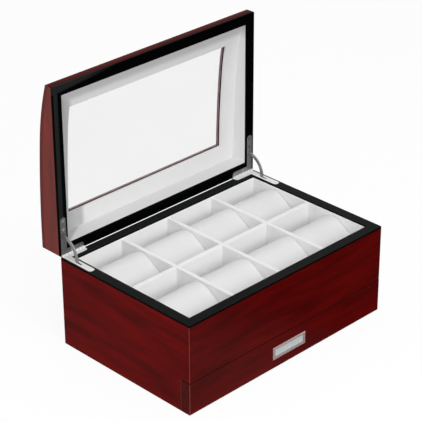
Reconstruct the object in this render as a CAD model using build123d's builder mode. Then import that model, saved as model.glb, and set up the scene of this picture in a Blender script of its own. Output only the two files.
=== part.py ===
"""Pen and watch box: a veneered box with eight lined watch compartments, a pen drawer and a windowed lid.

Millimetres, +Z up. The origin is the centre of the felt underside. The front, with the drawer, faces -Y.
The lid stands open at rest. Each lid piece is drawn on planes that turn with the lid: on them Y is where the
piece lies when the lid is shut, and the height counts up from the lid's rim. A setback is a distance forward
from the back face of the box.
"""
import os
from math import asin, atan2, cos, degrees, hypot, radians, sin, sqrt, tan

from build123d import *

# Outside of the box
box_width = 320.0
box_depth = 213.4
base_height = 116.1
felt_thickness = 1.0
felt_margin = 6.0

# Carcass
wall_thickness = 11.1
bottom_thickness = 5.0
deck_thickness = 4.0
corner_chamfer = 0.8

# Black lacquered lipping round the mouth of the base and of the lid
rim_width = 13.1
rim_thickness = 2.0
rim_chamfer = 0.4

# Watch tray
pad_thickness = 2.0
divider_thickness = 5.0
divider_drop = 3.5
divider_shift = 1.9
divider_fit = 0.15
divider_edge_radius = 0.5
columns = 4

# Watch pillow, seen from its side: a slope that rises from a low front to a crest near the back
pillow_fit = 0.4
pillow_front_gap = 5.4
pillow_base_depth = 74.1
pillow_front_drop = 26.2
pillow_slope = 30.5
pillow_back_lean = 10.1
pillow_back_foot_radius = 10.0
pillow_front_foot_radius = 8.0
pillow_nose_radius = 26.0
pillow_crest_radius = 19.0
pillow_crown = 0.5
pillow_end_draw = 1.0
pillow_end_band = 3.0

# Drawer
drawer_front_thickness = 12.5
drawer_front_height = 41.6
drawer_reveal = 0.6
drawer_side_thickness = 8.0
drawer_side_gap = 0.6
drawer_side_height = 33.5
drawer_floor_thickness = 3.0
drawer_floor_lift = 2.0
glide_thickness = 1.2
glide_gap = 0.3
bumper_radius = 4.0
bumper_thickness = 2.0
bumper_spread = 200.0
front_edge_radius = 0.8

# Pen tray in the drawer
pen_pad_thickness = 1.5
pen_slots = 10
pen_ridge_width = 7.0
pen_ridge_height = 10.0
pen_tray_fit = 0.5

# Pull plate on the drawer front
pull_width = 54.0
pull_height = 16.0
pull_lift = 20.3
pull_frame_width = 2.4
pull_frame_thickness = 1.7
pull_bevel = 0.8
pull_recess = 1.6
pull_insert_thickness = 0.5
pull_pin_radius = 1.0
pull_pin_length = 6.0
pull_pin_fit = 0.05

# Roof of the lid: a flat arc at the back that runs into a rounder one at the front
roof_crest_height = 32.2
roof_crest_setback = 14.0
roof_knee_drop = 5.8
roof_front_height = 11.9
roof_front_stretch = 72.0
roof_thickness = 5.8
roof_edge_radius = 0.8

# Window, its pane let into a rebate under the roof
window_width = 251.0
window_back_setback = 36.0
window_front_setback = 175.5
window_lip = 3.3
pane_seat = 6.0
pane_fit = 0.3

# Lining of the lid
ceiling_thickness = 3.2
cove_reach = 15.0

# Corner hinges
lid_open_angle = 90.0
lid_gap = 0.6
hinge_setback = 0.15
leaf_thickness = 1.3
leaf_side_width = 8.4
leaf_back_width = 6.6
leaf_inset = 0.75
leaf_side_length = 49.3
leaf_back_length = 33.9
leaf_end_radius = 3.6
leaf_fit = 0.1
knuckle_count = 13
knuckle_gap = 0.3
barrel_clearance = 0.4
hinge_pin_radius = 0.7
bore_clearance = 0.05

# Hinge screws
screw_head_radius = 1.9
screw_radius = 0.9
screw_length = 9.0
screw_drive_length = 2.4
screw_drive_width = 0.5
screw_drive_depth = 0.4
side_screw_setbacks = (33.8, 44.8)
back_screw_insets = (18.6, 32.6)

# Curved stay arms
stay_thickness = 2.0
stay_width = 3.4
stay_radius = 24.9
stay_pivot_reach = 25.3
stay_pivot_depth = 2.2
stay_slot_reach = 21.8
stay_tail = 2.4
stay_turn = 65.0
stay_clearance = 0.3
stay_rivet_radius = 0.6
stay_eye_radius = 1.9
stop_pin_radius = 0.9
stop_pin_length = 3.9
ear_thickness = 1.0
pocket_clearance = 0.5
stay_path_steps = 24

# Levels and faces that follow from the sizes above
bottom_z = felt_thickness
rim_z = bottom_z + base_height
panel_top = rim_z - rim_thickness
upper_z = bottom_z + drawer_front_height + drawer_reveal
deck_top = upper_z + deck_thickness
tray_floor = deck_top + pad_thickness
divider_top = rim_z - divider_drop
half_width = box_width / 2
half_depth = box_depth / 2
inner_x = half_width - wall_thickness
inner_y = half_depth - wall_thickness
lined_x = half_width - rim_width
lined_y = half_depth - rim_width
mouth_width = 2 * lined_x
mouth_depth = 2 * lined_y
drawer_front_back = -half_depth + drawer_front_thickness
drawer_bay_front = drawer_front_back + drawer_reveal

# Hinge line, and the lid's frame as it stands open
hinge_y = half_depth + hinge_setback
hinge_z = rim_z + lid_gap / 2
opening = radians(lid_open_angle)


def opened(y, z):
    """Where a point of the shut lid goes when the lid opens, as (y, z)."""
    across = y - hinge_y
    above = z - hinge_z
    return (
        hinge_y + across * cos(opening) + above * sin(opening),
        hinge_z - across * sin(opening) + above * cos(opening),
    )


lid_plane = Plane(
    origin=(0, *opened(0, rim_z + lid_gap)),
    x_dir=(1, 0, 0),
    z_dir=(0, sin(opening), cos(opening)),
)
lid_side = Plane(origin=lid_plane.origin, x_dir=lid_plane.y_dir, z_dir=(1, 0, 0))
rim_plane = Plane.XY.offset(rim_z)

os.makedirs("parts", exist_ok=True)


def save(piece, label):
    """Label a finished piece and write it to its own file."""
    piece.part.label = label
    export_step(piece.part, f"parts/{label}.step")


def middle(limits):
    """Middle of a (low, high) pair."""
    return (limits[0] + limits[1]) / 2


def span(limits):
    """Length of a (low, high) pair."""
    return limits[1] - limits[0]


def around(centre, width):
    """The (low, high) pair of a width about its centre."""
    return (centre - width / 2, centre + width / 2)


def mirrored(limits, side):
    """A (low, high) pair on the right side, taken to the side that is asked for."""
    return tuple(sorted(side * value for value in limits))


def block(x, y, z, mode=Mode.ADD):
    """Add or cut a block between the (low, high) pairs given for X, Y and Z."""
    with BuildSketch(Plane.XY.offset(z[0])) as outline:
        with Locations((middle(x), middle(y))):
            Rectangle(span(x), span(y))
    extrude(outline.sketch, amount=span(z), mode=mode)


def rod(plane, places, radius, length, mode=Mode.ADD):
    """Add or cut round rods that stand on a plane at the places given."""
    with BuildSketch(plane) as outline:
        with Locations(*places):
            Circle(radius)
    extrude(outline.sketch, amount=length, mode=mode)


# Hinge leaves

leaf_x = half_width - rim_width / 2
leaf_outer_x = leaf_x + leaf_side_width / 2
leaf_inner_x = leaf_x - leaf_side_width / 2
leaf_end_x = leaf_outer_x - leaf_back_length
leaf_edge_y = half_depth - leaf_inset
leaf_inner_y = leaf_edge_y - leaf_back_width
leaf_front_y = half_depth - leaf_side_length
knuckle_radius = leaf_thickness + lid_gap / 2
barrel_length = leaf_outer_x - leaf_end_x
knuckle_length = (barrel_length - (knuckle_count - 1) * knuckle_gap) / knuckle_count


def leaf(plane, side, amount, back_y=leaf_edge_y, grow=0.0, mode=Mode.ADD):
    """Add or cut an L-shaped leaf with rounded ends, out to a back edge and grown by a clearance elsewhere."""
    with BuildSketch(plane) as outline:
        with BuildLine() as edge:
            FilletPolyline(
                (side * (leaf_outer_x + grow), back_y),
                (side * (leaf_outer_x + grow), leaf_front_y - grow),
                (side * (leaf_inner_x - grow), leaf_front_y - grow),
                (side * (leaf_inner_x - grow), leaf_inner_y - grow),
                (side * (leaf_end_x - grow), leaf_inner_y - grow),
                (side * (leaf_end_x - grow), back_y),
                radius=[0, leaf_end_radius + grow, leaf_end_radius + grow, 0, leaf_end_radius + grow, 0],
                close=True,
            )
        make_face(edge.edges())
    extrude(outline.sketch, amount=amount, mode=mode)


screw_places = [
    (side * x, y)
    for side in (-1, 1)
    for x, y in (
        *((leaf_x, half_depth - setback) for setback in side_screw_setbacks),
        *((half_width - inset, leaf_edge_y - leaf_back_width / 2) for inset in back_screw_insets),
    )
]


def cut_barrels():
    """Room for both hinge barrels, about the hinge line."""
    for side in (-1, 1):
        x = mirrored((leaf_end_x - barrel_clearance, leaf_outer_x + barrel_clearance), side)
        rod(
            Plane.YZ.offset(x[0]),
            [(hinge_y, hinge_z)],
            knuckle_radius + barrel_clearance,
            span(x),
            mode=Mode.SUBTRACT,
        )


def cut_pilots(plane, depth):
    """Pilot holes for the hinge screws, from a rim's face into the wood."""
    rod(plane, screw_places, screw_radius, depth, mode=Mode.SUBTRACT)


# Stay arms, worked out as (forward, up) distances from the hinge line


def turn(point, angle):
    """Turn a (forward, up) vector from up towards forward."""
    return (
        point[0] * cos(angle) + point[1] * sin(angle),
        point[1] * cos(angle) - point[0] * sin(angle),
    )


pivot_shut = (stay_pivot_reach, stay_pivot_depth + lid_gap / 2)
pivot_open = turn(pivot_shut, -opening)
slot_open = (stay_slot_reach, -(lid_gap + leaf_thickness) / 2)
chord = (slot_open[0] - pivot_open[0], slot_open[1] - pivot_open[1])
bow = sqrt(stay_radius**2 - hypot(*chord) ** 2 / 4) / hypot(*chord)
arm_centre = (
    (pivot_open[0] + slot_open[0]) / 2 + bow * chord[1],
    (pivot_open[1] + slot_open[1]) / 2 - bow * chord[0],
)
arm_start = atan2(pivot_open[1] - arm_centre[1], pivot_open[0] - arm_centre[0])
arm_slot = atan2(slot_open[1] - arm_centre[1], slot_open[0] - arm_centre[0])
arm_sweep = arm_start - arm_slot + stay_tail / stay_radius


def arm_edges(pivot, turned):
    """Points on both edges of an arm whose pivot has moved and which has turned, as (forward, up)."""
    reach = turn((arm_centre[0] - pivot_open[0], arm_centre[1] - pivot_open[1]), turned)
    points = []
    for step in range(stay_path_steps + 1):
        angle = arm_start - turned - arm_sweep * step / stay_path_steps
        for radius in (stay_radius - stay_width / 2, stay_radius + stay_width / 2):
            points.append(
                (pivot[0] + reach[0] + radius * cos(angle), pivot[1] + reach[1] + radius * sin(angle))
            )
    return points


arm_in_base = []
arm_in_lid = []
for step in range(stay_path_steps + 1):
    share = step / stay_path_steps
    turned = radians(stay_turn) * share
    arm_in_base += arm_edges(turn(pivot_open, opening * share), turned)
    arm_in_lid += arm_edges(pivot_shut, opening * (1 - share) + turned)


def reaches(points, low, high):
    """Y limits of the points between two heights from the hinge line, with a clearance."""
    inside = [point[0] for point in points if low < point[1] < high]
    return (hinge_y - max(inside) - stay_clearance, hinge_y - min(inside) + stay_clearance)


plate_low = -lid_gap / 2 - leaf_thickness
slot_y = reaches(arm_in_base, plate_low - stay_width / 2, -plate_low)
pocket_y = reaches(arm_in_base, -base_height, 0)
pocket_y = (pocket_y[0] - stay_width / 2, pocket_y[1] + stay_width / 2)
pocket_depth = stay_clearance + stay_width / 2 - min(point[1] for point in arm_in_base)
pocket_width = stop_pin_length + 2 * stay_clearance
stay_slot_width = stay_thickness + 2 * stay_clearance
pivot_y = hinge_y - stay_pivot_reach
eye_y = around(pivot_y, 2 * (stay_eye_radius + stay_clearance))
lid_slot_y = reaches(arm_in_lid, -stay_width / 2, stay_pivot_depth + lid_gap / 2)
lid_slot_y = (min(lid_slot_y[0], eye_y[0]), max(lid_slot_y[1], eye_y[1]))
ear_pocket_width = stay_slot_width + 2 * (ear_thickness + pocket_clearance)
ear_pocket_depth = stay_pivot_depth + stay_eye_radius + pocket_clearance


def cut_stay_pockets():
    """Pockets in the rim and sides of the base that take the stay arms as the lid shuts."""
    for side in (-1, 1):
        x = around(side * leaf_x, pocket_width)
        block(x, pocket_y, (rim_z - pocket_depth, rim_z), mode=Mode.SUBTRACT)


def cut_ear_pockets():
    """Pockets in the rim and sides of the lid for the ears that carry the stay arms."""
    with BuildSketch(lid_plane) as outline:
        for side in (-1, 1):
            with Locations((side * leaf_x, middle(lid_slot_y))):
                Rectangle(ear_pocket_width, span(lid_slot_y) + 2 * pocket_clearance)
    extrude(outline.sketch, amount=ear_pocket_depth, mode=Mode.SUBTRACT)


# Felt, carcass and deck of the base

with BuildPart() as base_felt:
    felt_y = (drawer_bay_front + felt_margin, half_depth - felt_margin)
    block((-half_width + felt_margin, half_width - felt_margin), felt_y, (0, felt_thickness))
save(base_felt, "base_felt")

with BuildPart() as bottom_panel:
    block((-inner_x, inner_x), (drawer_bay_front, inner_y), (bottom_z, bottom_z + bottom_thickness))
save(bottom_panel, "bottom_panel")

with BuildPart() as back_panel:
    block((-inner_x, inner_x), (inner_y, half_depth), (bottom_z, panel_top))
    cut_barrels()
    cut_pilots(rim_plane, -screw_length)
save(back_panel, "back_panel")

for side, name in ((-1, "left_side"), (1, "right_side")):
    with BuildPart() as side_panel:
        with BuildSketch(Plane.XY.offset(bottom_z)):
            with BuildLine():
                Polyline(
                    (side * inner_x, -inner_y),
                    (side * (half_width - corner_chamfer / 2), -half_depth + corner_chamfer / 2),
                    (side * half_width, -half_depth + corner_chamfer),
                    (side * half_width, half_depth - corner_chamfer),
                    (side * (half_width - corner_chamfer), half_depth),
                    (side * inner_x, half_depth),
                    close=True,
                )
            make_face()
        extrude(amount=panel_top - bottom_z)
        block(
            mirrored((0, box_width), side),
            (-box_depth, drawer_bay_front),
            (0, upper_z),
            mode=Mode.SUBTRACT,
        )
        cut_barrels()
        cut_pilots(rim_plane, -screw_length)
        cut_stay_pockets()
    save(side_panel, name)

with BuildPart() as upper_front_panel:
    with BuildSketch(Plane.XY.offset(upper_z)):
        with BuildLine():
            Polyline(
                (-inner_x, -inner_y),
                (-half_width + corner_chamfer / 2, -half_depth + corner_chamfer / 2),
                (-half_width + corner_chamfer, -half_depth),
                (half_width - corner_chamfer, -half_depth),
                (half_width - corner_chamfer / 2, -half_depth + corner_chamfer / 2),
                (inner_x, -inner_y),
                close=True,
            )
        make_face()
    extrude(amount=panel_top - upper_z)
save(upper_front_panel, "upper_front_panel")

with BuildPart() as tray_deck:
    block((-inner_x, inner_x), (-inner_y, inner_y), (upper_z, deck_top))
save(tray_deck, "tray_deck")

with BuildPart() as base_rim:
    with BuildSketch(rim_plane.offset(-rim_thickness)) as rim_outline:
        Rectangle(box_width, box_depth)
        chamfer(rim_outline.vertices(), corner_chamfer)
        Rectangle(mouth_width, mouth_depth, mode=Mode.SUBTRACT)
    extrude(amount=rim_thickness)
    chamfer(base_rim.faces().sort_by(Axis.Z)[-1].outer_wire().edges(), rim_chamfer)
    for side in (-1, 1):
        leaf(rim_plane, side, -leaf_thickness, back_y=hinge_y, grow=leaf_fit, mode=Mode.SUBTRACT)
    cut_barrels()
    cut_pilots(rim_plane, -screw_length)
    cut_stay_pockets()
save(base_rim, "base_rim")

# Lining and dividers of the watch tray

with BuildPart() as tray_floor_pad:
    block((-lined_x, lined_x), (-lined_y, lined_y), (deck_top, tray_floor))
save(tray_floor_pad, "tray_floor_pad")

for side, name in ((-1, "tray_board_front"), (1, "tray_board_back")):
    with BuildPart() as tray_board:
        block((-inner_x, inner_x), mirrored((lined_y, inner_y), side), (deck_top, panel_top))
    save(tray_board, name)

for side, name in ((-1, "tray_board_left"), (1, "tray_board_right")):
    with BuildPart() as tray_board:
        block(mirrored((lined_x, inner_x), side), (-lined_y, lined_y), (deck_top, panel_top))
    save(tray_board, name)

column_width = (mouth_width - (columns - 1) * divider_thickness) / columns
column_pitch = column_width + divider_thickness
cross_places = [column_pitch * (index - (columns - 2) / 2) for index in range(columns - 1)]
notch_width = divider_thickness + 2 * divider_fit
lap_z = (tray_floor + divider_top) / 2
long_y = around(divider_shift, divider_thickness)

with BuildPart() as long_divider:
    block((-lined_x + divider_fit, lined_x - divider_fit), long_y, (tray_floor, divider_top))
    for place in cross_places:
        block(around(place, notch_width), long_y, (lap_z, divider_top), mode=Mode.SUBTRACT)
    fillet(long_divider.edges().filter_by(Axis.X).group_by(Axis.Z)[-1], divider_edge_radius)
save(long_divider, "long_divider")

for index, place in enumerate(cross_places, start=1):
    with BuildPart() as cross_divider:
        x = around(place, divider_thickness)
        block(x, (-lined_y + divider_fit, lined_y - divider_fit), (tray_floor, divider_top))
        block(x, around(divider_shift, notch_width), (tray_floor, lap_z), mode=Mode.SUBTRACT)
        fillet(cross_divider.edges().filter_by(Axis.Y).group_by(Axis.Z)[-1], divider_edge_radius)
    save(cross_divider, f"cross_divider_{index}")

# Watch pillows

pillow_half = column_width / 2 - pillow_fit
pillow_front_height = divider_top - tray_floor - pillow_front_drop
slope = tan(radians(pillow_slope))
lean = tan(radians(pillow_back_lean))


def pillow_section(plane, front_y, inset):
    """Side profile of a pillow, its outline drawn in by an inset except at the floor."""
    front = front_y + pillow_front_gap + inset
    back = front_y + pillow_front_gap + pillow_base_depth - inset
    nose = pillow_front_height - inset / 2
    peak = (nose + slope * (back - front)) / (1 + slope * lean)
    with BuildSketch(plane) as section:
        with BuildLine() as edge:
            FilletPolyline(
                (back, tray_floor),
                (back - lean * peak, tray_floor + peak),
                (front, tray_floor + nose),
                (front, tray_floor),
                radius=[
                    pillow_back_foot_radius,
                    pillow_crest_radius - inset,
                    pillow_nose_radius - inset,
                    pillow_front_foot_radius,
                ],
                close=True,
            )
        make_face(edge.edges())
    return section.sketch.face()


pillow_stations = (
    (-pillow_half, pillow_end_draw),
    (-pillow_half + pillow_end_band, pillow_crown),
    (0.0, 0.0),
    (pillow_half - pillow_end_band, pillow_crown),
    (pillow_half, pillow_end_draw),
)

for row, front_y in (("front", -lined_y), ("back", long_y[1])):
    for column in range(columns):
        centre_x = column_pitch * (column - (columns - 1) / 2)
        with BuildPart() as pillow:
            loft(
                [
                    pillow_section(Plane.YZ.offset(centre_x + station), front_y, inset)
                    for station, inset in pillow_stations
                ]
            )
        save(pillow, f"pillow_{row}_{column + 1}")

# Drawer with its glides, bumpers and pen tray

glide_z = bottom_z + bottom_thickness
drawer_x = inner_x - drawer_side_gap
drawer_inner_x = drawer_x - drawer_side_thickness
drawer_bottom_z = glide_z + glide_thickness + glide_gap
drawer_z = (drawer_bottom_z, drawer_bottom_z + drawer_side_height)
drawer_end = inner_y - bumper_thickness - glide_gap
drawer_inner_end = drawer_end - drawer_side_thickness
drawer_floor_z = drawer_bottom_z + drawer_floor_lift
pen_floor_z = drawer_floor_z + drawer_floor_thickness

with BuildPart() as drawer_glides:
    for side in (-1, 1):
        x = mirrored((drawer_inner_x, drawer_x), side)
        block(x, (drawer_bay_front, inner_y), (glide_z, glide_z + glide_thickness))
save(drawer_glides, "drawer_glides")

with BuildPart() as drawer_bumpers:
    bumper_places = [(side * bumper_spread / 2, middle(drawer_z)) for side in (-1, 1)]
    rod(Plane.XZ.offset(-inner_y), bumper_places, bumper_radius, bumper_thickness)
save(drawer_bumpers, "drawer_bumpers")

pull_plane = Plane.XZ.offset(half_depth)
pull_z = bottom_z + pull_lift
insert_width = pull_width - 2 * pull_frame_width
insert_height = pull_height - 2 * pull_frame_width
insert_front = pull_frame_thickness - pull_recess
insert_plane = pull_plane.offset(insert_front - pull_insert_thickness)
pull_pin_places = [(side * (pull_width - pull_frame_width) / 2, pull_z) for side in (-1, 1)]

with BuildPart() as drawer_front:
    block(
        (-half_width, half_width),
        (-half_depth, drawer_front_back),
        (bottom_z, bottom_z + drawer_front_height),
    )
    fillet(drawer_front.faces().sort_by(Axis.Y)[0].edges(), front_edge_radius)
    with BuildSketch(insert_plane):
        with Locations((0, pull_z)):
            Rectangle(insert_width, insert_height)
    extrude(amount=pull_insert_thickness - insert_front, mode=Mode.SUBTRACT)
    rod(
        pull_plane,
        pull_pin_places,
        pull_pin_radius + pull_pin_fit,
        -pull_pin_length - pull_pin_fit,
        mode=Mode.SUBTRACT,
    )
save(drawer_front, "drawer_front")

for side, name in ((-1, "drawer_left_side"), (1, "drawer_right_side")):
    with BuildPart() as drawer_side:
        block(mirrored((drawer_inner_x, drawer_x), side), (drawer_front_back, drawer_end), drawer_z)
    save(drawer_side, name)

with BuildPart() as drawer_back:
    block((-drawer_inner_x, drawer_inner_x), (drawer_inner_end, drawer_end), drawer_z)
save(drawer_back, "drawer_back")

with BuildPart() as drawer_floor:
    block(
        (-drawer_inner_x, drawer_inner_x),
        (drawer_front_back, drawer_inner_end),
        (drawer_floor_z, pen_floor_z),
    )
save(drawer_floor, "drawer_floor")

pen_x = drawer_inner_x - pen_tray_fit
pen_y = (drawer_front_back + pen_tray_fit, drawer_inner_end - pen_tray_fit)
pen_pad_top = pen_floor_z + pen_pad_thickness
pen_pitch = 2 * pen_x / pen_slots
ridge_round_z = pen_pad_top + pen_ridge_height - pen_ridge_width / 2

with BuildPart() as pen_pad:
    block((-pen_x, pen_x), pen_y, (pen_floor_z, pen_pad_top))
save(pen_pad, "pen_pad")

with BuildPart() as pen_ridges:
    with BuildSketch(Plane.XZ.offset(-pen_y[0])):
        with Locations((0, middle((pen_pad_top, ridge_round_z)))):
            with GridLocations(pen_pitch, 0, pen_slots - 1, 1):
                Rectangle(pen_ridge_width, ridge_round_z - pen_pad_top)
        with Locations((0, ridge_round_z)):
            with GridLocations(pen_pitch, 0, pen_slots - 1, 1):
                Circle(pen_ridge_width / 2)
    extrude(amount=-span(pen_y))
save(pen_ridges, "pen_ridges")

# Pull plate

with BuildPart() as pull_frame:
    with BuildSketch(pull_plane):
        with Locations((0, pull_z)):
            Rectangle(pull_width, pull_height)
            Rectangle(insert_width, insert_height, mode=Mode.SUBTRACT)
    extrude(amount=pull_frame_thickness)
    chamfer(pull_frame.faces().sort_by(Axis.Y)[0].outer_wire().edges(), pull_bevel)
save(pull_frame, "pull_frame")

with BuildPart() as pull_insert:
    with BuildSketch(insert_plane):
        with Locations((0, pull_z)):
            Rectangle(insert_width, insert_height)
    extrude(amount=pull_insert_thickness)
save(pull_insert, "pull_insert")

with BuildPart() as pull_pins:
    rod(pull_plane, pull_pin_places, pull_pin_radius, -pull_pin_length)
save(pull_pins, "pull_pins")

# Roof curve of the lid

knee_reach = box_depth - roof_front_stretch - roof_crest_setback
roof_back_radius = (knee_reach**2 + roof_knee_drop**2) / (2 * roof_knee_drop)
knee_angle = asin(knee_reach / roof_back_radius)
front_drop = roof_crest_height - roof_knee_drop - roof_front_height
front_rise = front_drop * cos(knee_angle) - roof_front_stretch * sin(knee_angle)
roof_front_radius = (roof_front_stretch**2 + front_drop**2) / (2 * front_rise)
back_centre = (roof_crest_setback, roof_crest_height - roof_back_radius)
front_centre = (
    back_centre[0] + (roof_back_radius - roof_front_radius) * sin(knee_angle),
    back_centre[1] + (roof_back_radius - roof_front_radius) * cos(knee_angle),
)
pane_drops = (window_lip, roof_thickness)
ceiling_drop = roof_thickness + ceiling_thickness
lid_height = roof_crest_height + roof_thickness


def roof_knee(drop):
    """Setback where the two roof arcs meet, at a drop inside the outer face."""
    return back_centre[0] + (roof_back_radius - drop) * sin(knee_angle)


def roof_point(setback, drop):
    """Point (y, height) of the roof curve at a setback and a drop inside the outer face."""
    if setback <= roof_knee(drop):
        centre, radius = back_centre, roof_back_radius - drop
    else:
        centre, radius = front_centre, roof_front_radius - drop
    return (half_depth - setback, centre[1] + sqrt(radius**2 - (setback - centre[0]) ** 2))


def roof_line(start, end, drop):
    """Draw the roof curve between two setbacks."""
    marks = [start, end]
    if start < roof_knee(drop) < end:
        marks.insert(1, roof_knee(drop))
    for low, high in zip(marks, marks[1:]):
        ThreePointArc(
            roof_point(low, drop),
            roof_point((low + high) / 2, drop),
            roof_point(high, drop),
        )


def rail(setbacks, x, drop):
    """Add a piece that stands on the lid's rim and reaches up to the roof curve."""
    start, end = setbacks
    with BuildSketch(lid_side.offset(x[0])) as outline:
        with BuildLine() as edge:
            roof_line(start, end, drop)
            Polyline(
                roof_point(end, drop),
                (half_depth - end, rim_thickness),
                (half_depth - start, rim_thickness),
                roof_point(start, drop),
            )
        make_face(edge.edges())
    extrude(outline.sketch, amount=span(x))


def shell(setbacks, half, drops, mode=Mode.ADD):
    """Add or cut a curved sheet between two drops inside the roof's outer face."""
    start, end = setbacks
    outer, inner = drops
    with BuildSketch(lid_side.offset(-half)) as outline:
        with BuildLine() as edge:
            roof_line(start, end, outer)
            Line(roof_point(end, outer), roof_point(end, inner))
            roof_line(start, end, inner)
            Line(roof_point(start, inner), roof_point(start, outer))
        make_face(edge.edges())
    extrude(outline.sketch, amount=2 * half, mode=mode)


def cut_window():
    """Cut the window up through the lid from its rim plane."""
    setbacks = (window_back_setback, window_front_setback)
    with BuildSketch(lid_plane) as outline:
        with Locations((0, half_depth - middle(setbacks))):
            Rectangle(window_width, span(setbacks))
    extrude(outline.sketch, amount=lid_height, mode=Mode.SUBTRACT)


def trim_corners():
    """Chamfer the upright corners of the lid."""
    with BuildSketch(lid_plane) as outline:
        Rectangle(box_width, box_depth)
        chamfer(outline.vertices(), corner_chamfer)
    extrude(outline.sketch, amount=lid_height, mode=Mode.INTERSECT)


# Rails, roof and rim of the lid

for side, name in ((-1, "lid_left_rail"), (1, "lid_right_rail")):
    with BuildPart() as lid_rail:
        rail((0, box_depth), mirrored((inner_x, half_width), side), roof_thickness)
        trim_corners()
        cut_barrels()
        cut_pilots(lid_plane, screw_length)
        cut_ear_pockets()
    save(lid_rail, name)

for setbacks, name in (
    ((0, wall_thickness), "lid_back_rail"),
    ((box_depth - wall_thickness, box_depth), "lid_front_rail"),
):
    with BuildPart() as lid_rail:
        rail(setbacks, (-inner_x, inner_x), roof_thickness)
        cut_barrels()
        cut_pilots(lid_plane, screw_length)
    save(lid_rail, name)

with BuildPart() as lid_roof:
    shell((0, box_depth), half_width, (0, roof_thickness))
    flat_edges = lid_roof.faces().filter_by(GeomType.PLANE).edges()
    outer_radii = (roof_back_radius, roof_front_radius)
    outer_faces = lid_roof.faces().filter_by(
        lambda face: any(abs(face.radius - radius) < roof_thickness / 2 for radius in outer_radii)
        if face.radius
        else False
    )
    fillet([edge for edge in outer_faces.edges() if edge in flat_edges], roof_edge_radius)
    trim_corners()
    shell(
        (window_back_setback - pane_seat, window_front_setback + pane_seat),
        window_width / 2 + pane_seat,
        pane_drops,
        mode=Mode.SUBTRACT,
    )
    cut_window()
save(lid_roof, "lid_roof")

with BuildPart() as lid_rim:
    with BuildSketch(lid_plane) as rim_outline:
        Rectangle(box_width, box_depth)
        chamfer(rim_outline.vertices(), corner_chamfer)
        Rectangle(mouth_width, mouth_depth, mode=Mode.SUBTRACT)
    extrude(amount=rim_thickness)
    for side in (-1, 1):
        leaf(lid_plane, side, leaf_thickness, back_y=hinge_y, grow=leaf_fit, mode=Mode.SUBTRACT)
    cut_barrels()
    cut_pilots(lid_plane, screw_length)
    cut_ear_pockets()
save(lid_rim, "lid_rim")

# Window pane and lining of the lid

with BuildPart() as window_pane:
    seat = pane_seat - pane_fit
    shell((window_back_setback - seat, window_front_setback + seat), window_width / 2 + seat, pane_drops)
save(window_pane, "window_pane")

with BuildPart() as lid_ceiling:
    shell((wall_thickness, box_depth - wall_thickness), inner_x, (roof_thickness, ceiling_drop))
    cut_window()
save(lid_ceiling, "lid_ceiling")

with BuildPart() as lid_board_back:
    rail((wall_thickness, rim_width), (-inner_x, inner_x), ceiling_drop)
save(lid_board_back, "lid_board_back")

for side, name in ((-1, "lid_board_left"), (1, "lid_board_right")):
    with BuildPart() as lid_board:
        rail((rim_width, box_depth - wall_thickness), mirrored((lined_x, inner_x), side), ceiling_drop)
    save(lid_board, name)

with BuildPart() as lid_front_cove:
    cove_top = box_depth - rim_width - cove_reach
    cove_front = box_depth - wall_thickness
    with BuildSketch(lid_side.offset(-lined_x)):
        with BuildLine() as cove_edge:
            roof_line(cove_top, cove_front, ceiling_drop)
            Polyline(
                roof_point(cove_front, ceiling_drop),
                (half_depth - cove_front, rim_thickness),
                (-lined_y, rim_thickness),
                roof_point(cove_top, ceiling_drop),
            )
        make_face(cove_edge.edges())
    extrude(amount=mouth_width)
save(lid_front_cove, "lid_front_cove")

# Hinge leaves with their knuckles, pins and screws


def add_knuckles(plane, side, axis_height, plate, first):
    """Add every other knuckle of a barrel to a leaf, with the web that ties it to the plate."""
    web_y = (leaf_edge_y - leaf_back_width / 2, hinge_y)
    for index in range(first, knuckle_count, 2):
        start = leaf_end_x + index * (knuckle_length + knuckle_gap)
        x = mirrored((start, start + knuckle_length), side)
        with BuildSketch(plane.offset(x[0])) as outline:
            with Locations((middle(web_y), middle(plate))):
                Rectangle(span(web_y), span(plate))
            with Locations((hinge_y, axis_height)):
                Circle(knuckle_radius)
        extrude(outline.sketch, amount=span(x))
    rod(
        plane.offset(-half_width),
        [(hinge_y, axis_height)],
        hinge_pin_radius + bore_clearance,
        box_width,
        mode=Mode.SUBTRACT,
    )


def cut_countersinks(plane, direction):
    """Countersunk screw holes through a leaf, from its open face along a direction of +1 or -1."""
    rod(plane, screw_places, screw_radius, direction * leaf_thickness, mode=Mode.SUBTRACT)
    with BuildSketch(plane) as outline:
        with Locations(*screw_places):
            Circle(screw_head_radius)
    sink = screw_head_radius - screw_radius
    extrude(outline.sketch, amount=direction * sink, taper=45, mode=Mode.SUBTRACT)


for side, name in ((-1, "base_hinge_leaf_left"), (1, "base_hinge_leaf_right")):
    with BuildPart() as base_leaf:
        plate = (rim_z - leaf_thickness, rim_z)
        leaf(rim_plane, side, -leaf_thickness)
        cut_barrels()
        add_knuckles(Plane.YZ, side, hinge_z, plate, 0)
        block(around(side * leaf_x, stay_slot_width), slot_y, plate, mode=Mode.SUBTRACT)
        cut_countersinks(rim_plane, -1)
    save(base_leaf, name)

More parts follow.
